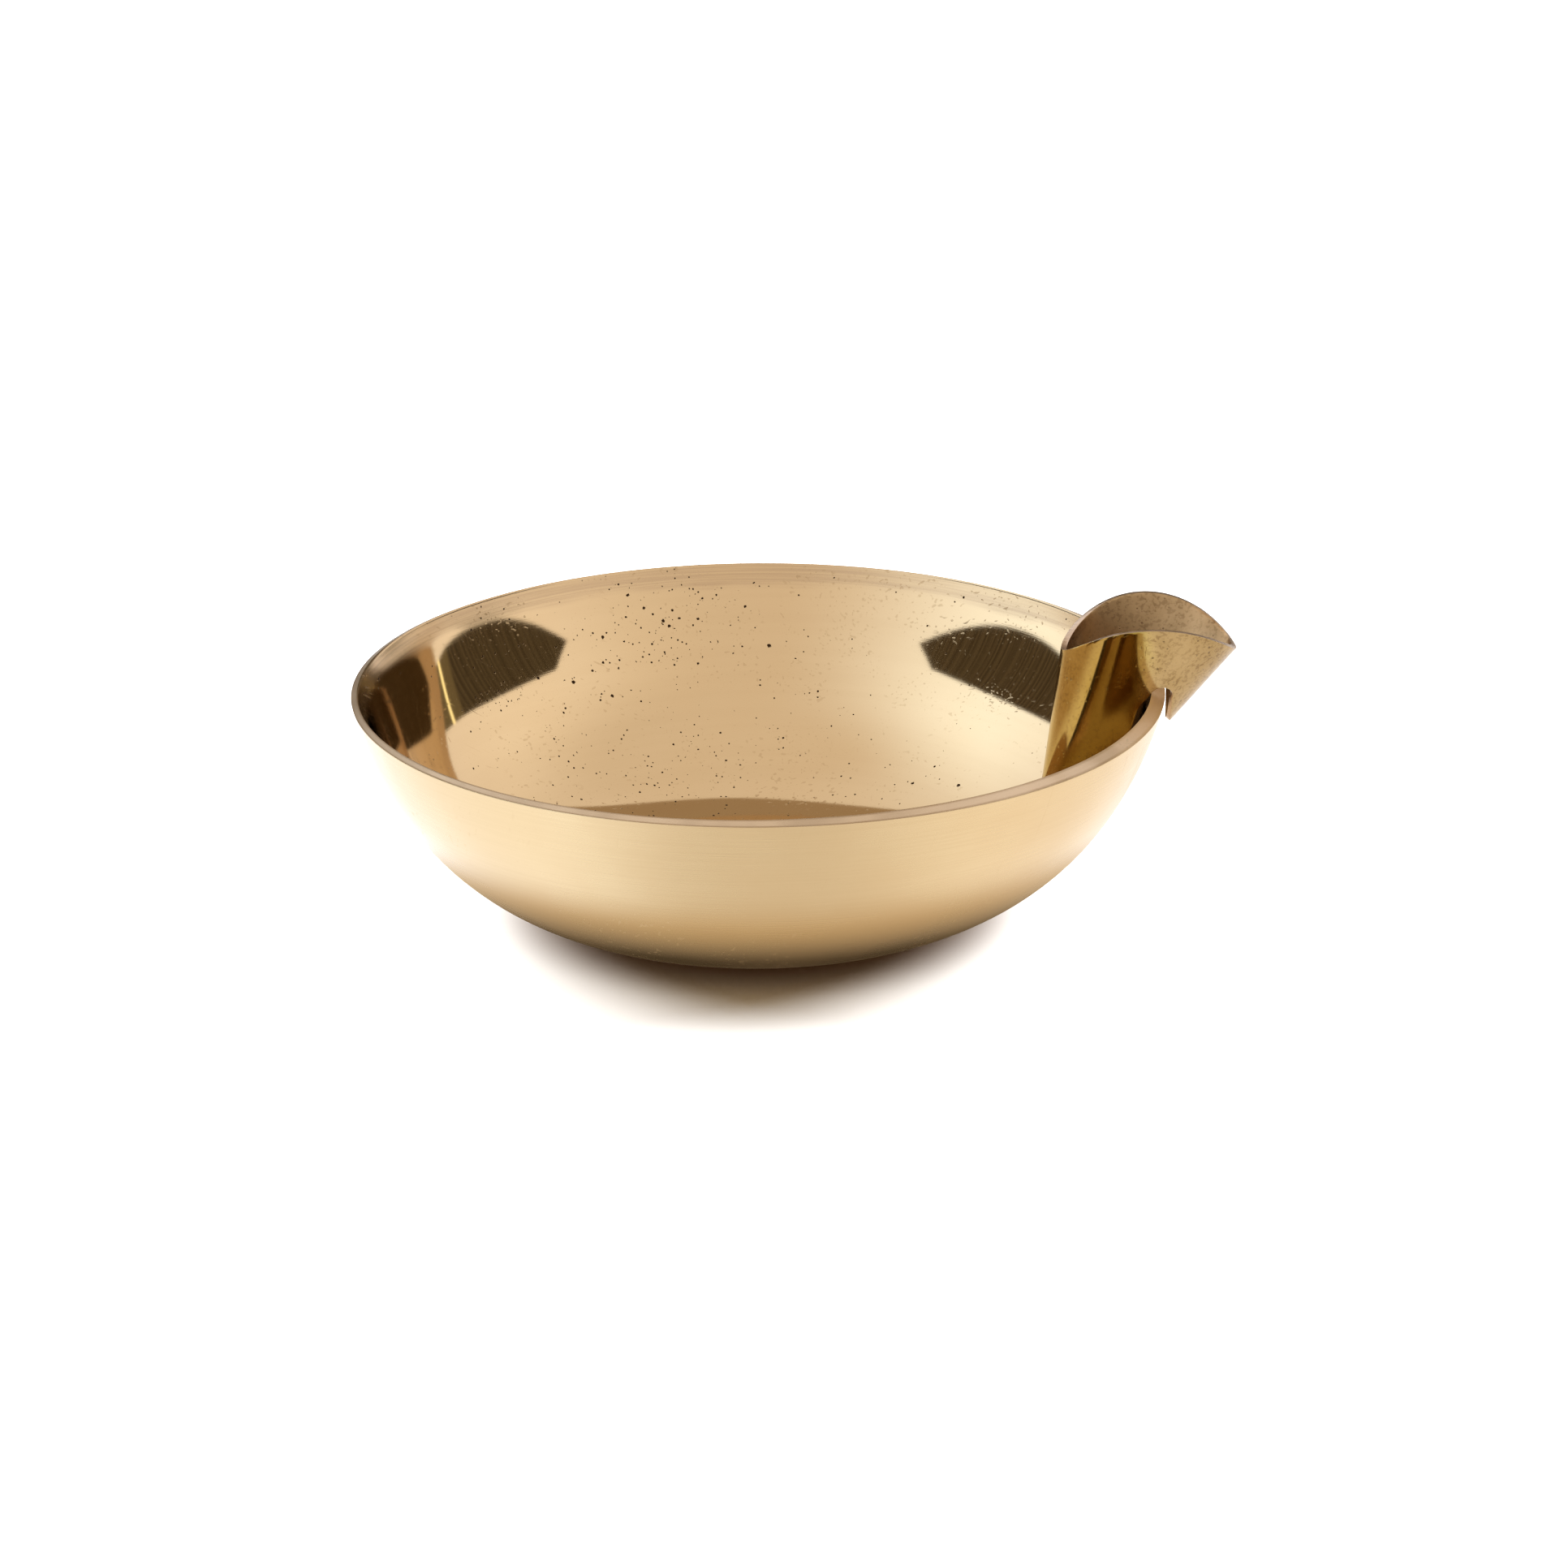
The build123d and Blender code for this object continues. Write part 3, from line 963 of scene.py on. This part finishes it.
def waver(graph, value, other, rate, reach):
    """The value, shifted up and down by up to half the reach as the other value changes."""
    along = graph.math("MULTIPLY", other, rate)
    noise = graph.node("TexNoise", {"noise_dimensions": "1D"}, W=along, Detail=2.0)
    shift = graph.math("MULTIPLY", graph.math("SUBTRACT", noise.outputs[0], 0.5), reach)
    return graph.math("ADD", value, shift)


def glow(graph, azimuth, elevation, centre, sharpness, rise, fall):
    """A wide soft lamp: strongest at its azimuth, between the elevations of its rise and fall."""
    turn = graph.math("RADIANS", graph.math("SUBTRACT", azimuth, centre))
    facing = graph.math("POWER", graph.math("MAXIMUM", graph.math("COSINE", turn), 0.0), sharpness)
    level = graph.math("MULTIPLY", graph.band(elevation, *rise), graph.band(elevation, *reversed(fall)))
    return graph.math("MULTIPLY", facing, level)


def gap_content(graph, azimuth, elevation):
    """The light in the dark gaps: dim uneven tones, and a slanting bright slit in the right one."""
    across = graph.math("MULTIPLY", azimuth, 0.35)
    uneven = graph.node("TexNoise", {"noise_dimensions": "1D"}, W=across, Detail=3.0)
    slanted = graph.math("MULTIPLY_ADD", elevation, STREAK_LEAN, STREAK_AZIMUTH)
    from_slit = graph.math("SUBTRACT", azimuth, slanted)
    content = graph.mix(graph.band(uneven.outputs[0], 0.35, 0.65), *GAP_TONES)
    content = graph.mix(graph.band(from_slit, *STREAK_FADE), content, STREAK_BESIDE)
    slit = graph.band(graph.math("ABSOLUTE", from_slit), STREAK_WIDTH, 0.6 * STREAK_WIDTH)
    return graph.mix(slit, content, STREAK_LIGHT)


def part_behind(graph, azimuth, elevation):
    """1 in the darker part of the room behind, under a top that bows down to its sides."""
    turn = graph.math("SUBTRACT", azimuth, BEHIND_AZIMUTH)
    aside = graph.math("ABSOLUTE", graph.math("WRAP", turn, 180.0, -180.0))
    top = graph.math("MULTIPLY_ADD", graph.math("POWER", aside, 2.0), -BEHIND_BOW, BEHIND_TOP)
    below_top = graph.band(graph.math("SUBTRACT", top, elevation), -0.4, 0.4)
    within = graph.band(aside, BEHIND_EDGE, BEHIND_EDGE - 3.0)
    return graph.math("MULTIPLY", below_top, within)


def studio_world():
    """A bright room with a soft glow and a dark gap at each side, and a darker part behind."""
    world = bpy.data.worlds.new("studio")
    bpy.context.scene.world = world
    world.use_nodes = True
    graph = Graph(world.node_tree)
    direction = graph.node("TexCoord").outputs["Generated"]
    x, y, z = graph.node("SeparateXYZ", Vector=direction).outputs
    azimuth = graph.math("DEGREES", graph.math("ARCTAN2", x, graph.math("MULTIPLY", y, -1.0)))
    elevation = graph.math("DEGREES", graph.math("ARCSINE", z))
    light = ROOM_LIGHT
    for color, *shape in GLOWS:
        light = graph.mix(glow(graph, azimuth, elevation, *shape), light, color, "ADD")
    content = gap_content(graph, azimuth, elevation)
    frayed_azimuth = waver(graph, azimuth, elevation, *GAP_FRAY_AZIMUTH)
    frayed_elevation = waver(graph, elevation, azimuth, *GAP_FRAY_ELEVATION)
    for gap in DARK_GAPS:
        light = graph.mix(dark_gap(graph, frayed_azimuth, frayed_elevation, *gap), light, content)
    behind_light = graph.mix(graph.band(elevation, *BEHIND_FADE), BEHIND_LIGHT, BEHIND_DARK)
    light = graph.mix(part_behind(graph, azimuth, elevation), light, behind_light)
    rays = graph.node("LightPath").outputs
    light = graph.mix(rays["Is Diffuse Ray"], light, BOUNCED_LIGHT)
    light = graph.mix(rays["Is Camera Ray"], light, BACKDROP)
    background = graph.node("Background", Strength=ROOM_POWER)
    graph.put(background.inputs["Color"], light)
    join_output(graph, background, "OutputWorld")


def floor_lights():
    """A soft light from each side for the floor and the shadow. The brass shows the room instead."""
    for azimuth, power in FLOOR_LIGHTS:
        data = bpy.data.lights.new("side_light", "SUN")
        data.energy = power
        data.angle = math.radians(FLOOR_LIGHT_WIDTH)
        lamp = bpy.data.objects.new("side_light", data)
        turn = math.radians(azimuth)
        rise = math.radians(FLOOR_LIGHT_ELEVATION)
        level = Vector((math.sin(turn), -math.cos(turn), 0))
        toward = level * math.cos(rise) + Vector((0, 0, math.sin(rise)))
        lamp.rotation_euler = toward.to_track_quat("Z", "Y").to_euler()
        lamp.visible_glossy = False
        bpy.context.scene.collection.objects.link(lamp)


def disc(name, depth, material):
    """A wide disc, its depth in millimetres under the lowest point of the CAD."""
    bpy.ops.mesh.primitive_circle_add(vertices=96, radius=FLOOR_RADIUS, fill_type="NGON")
    made = bpy.context.object
    made.name = name
    made.location.z = cad_box[0][2] - depth * MM
    made.data.materials.append(material)
    return made


def floors():
    """The pale floor that the camera sees, and a card just under it that the brass reflects."""
    seen = disc("floor", 0.05, floor_white())
    seen.visible_glossy = False
    seen.visible_diffuse = False
    seen.visible_shadow = False
    card = disc("floor_card", 0.1, card_light())
    card.visible_camera = False
    card.visible_diffuse = False
    card.visible_shadow = False


def camera():
    data = bpy.data.cameras.new("camera")
    data.lens = LENS
    data.sensor_width = SENSOR
    data.clip_start = 0.01
    data.clip_end = 50.0
    forward = Vector((0, math.cos(CAMERA_ELEVATION), -math.sin(CAMERA_ELEVATION)))
    level_up = Vector((0, math.sin(CAMERA_ELEVATION), math.cos(CAMERA_ELEVATION)))
    level_right = Vector((1, 0, 0))
    right = level_right * math.cos(CAMERA_ROLL) + level_up * math.sin(CAMERA_ROLL)
    up = right.cross(forward)
    place = AIM - forward * DISTANCE
    axes = Matrix((right, up, -forward)).transposed().to_4x4()
    seen = bpy.data.objects.new("camera", data)
    seen.matrix_world = Matrix.Translation(place) @ axes
    bpy.context.scene.collection.objects.link(seen)
    bpy.context.scene.camera = seen


# ---------------------------------------------------------------- assembly


def add_piece(piece, body, node):
    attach(piece, body)
    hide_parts(node)


camera()
studio_world()
floor_lights()
floors()
add_piece(bowl_mesh(), "bowl_body", "bowl")
add_piece(rest_mesh(), "rest_body", "rim_rest")
bpy.context.scene.view_settings.view_transform = "Standard"

bpy.context.view_layer.update()
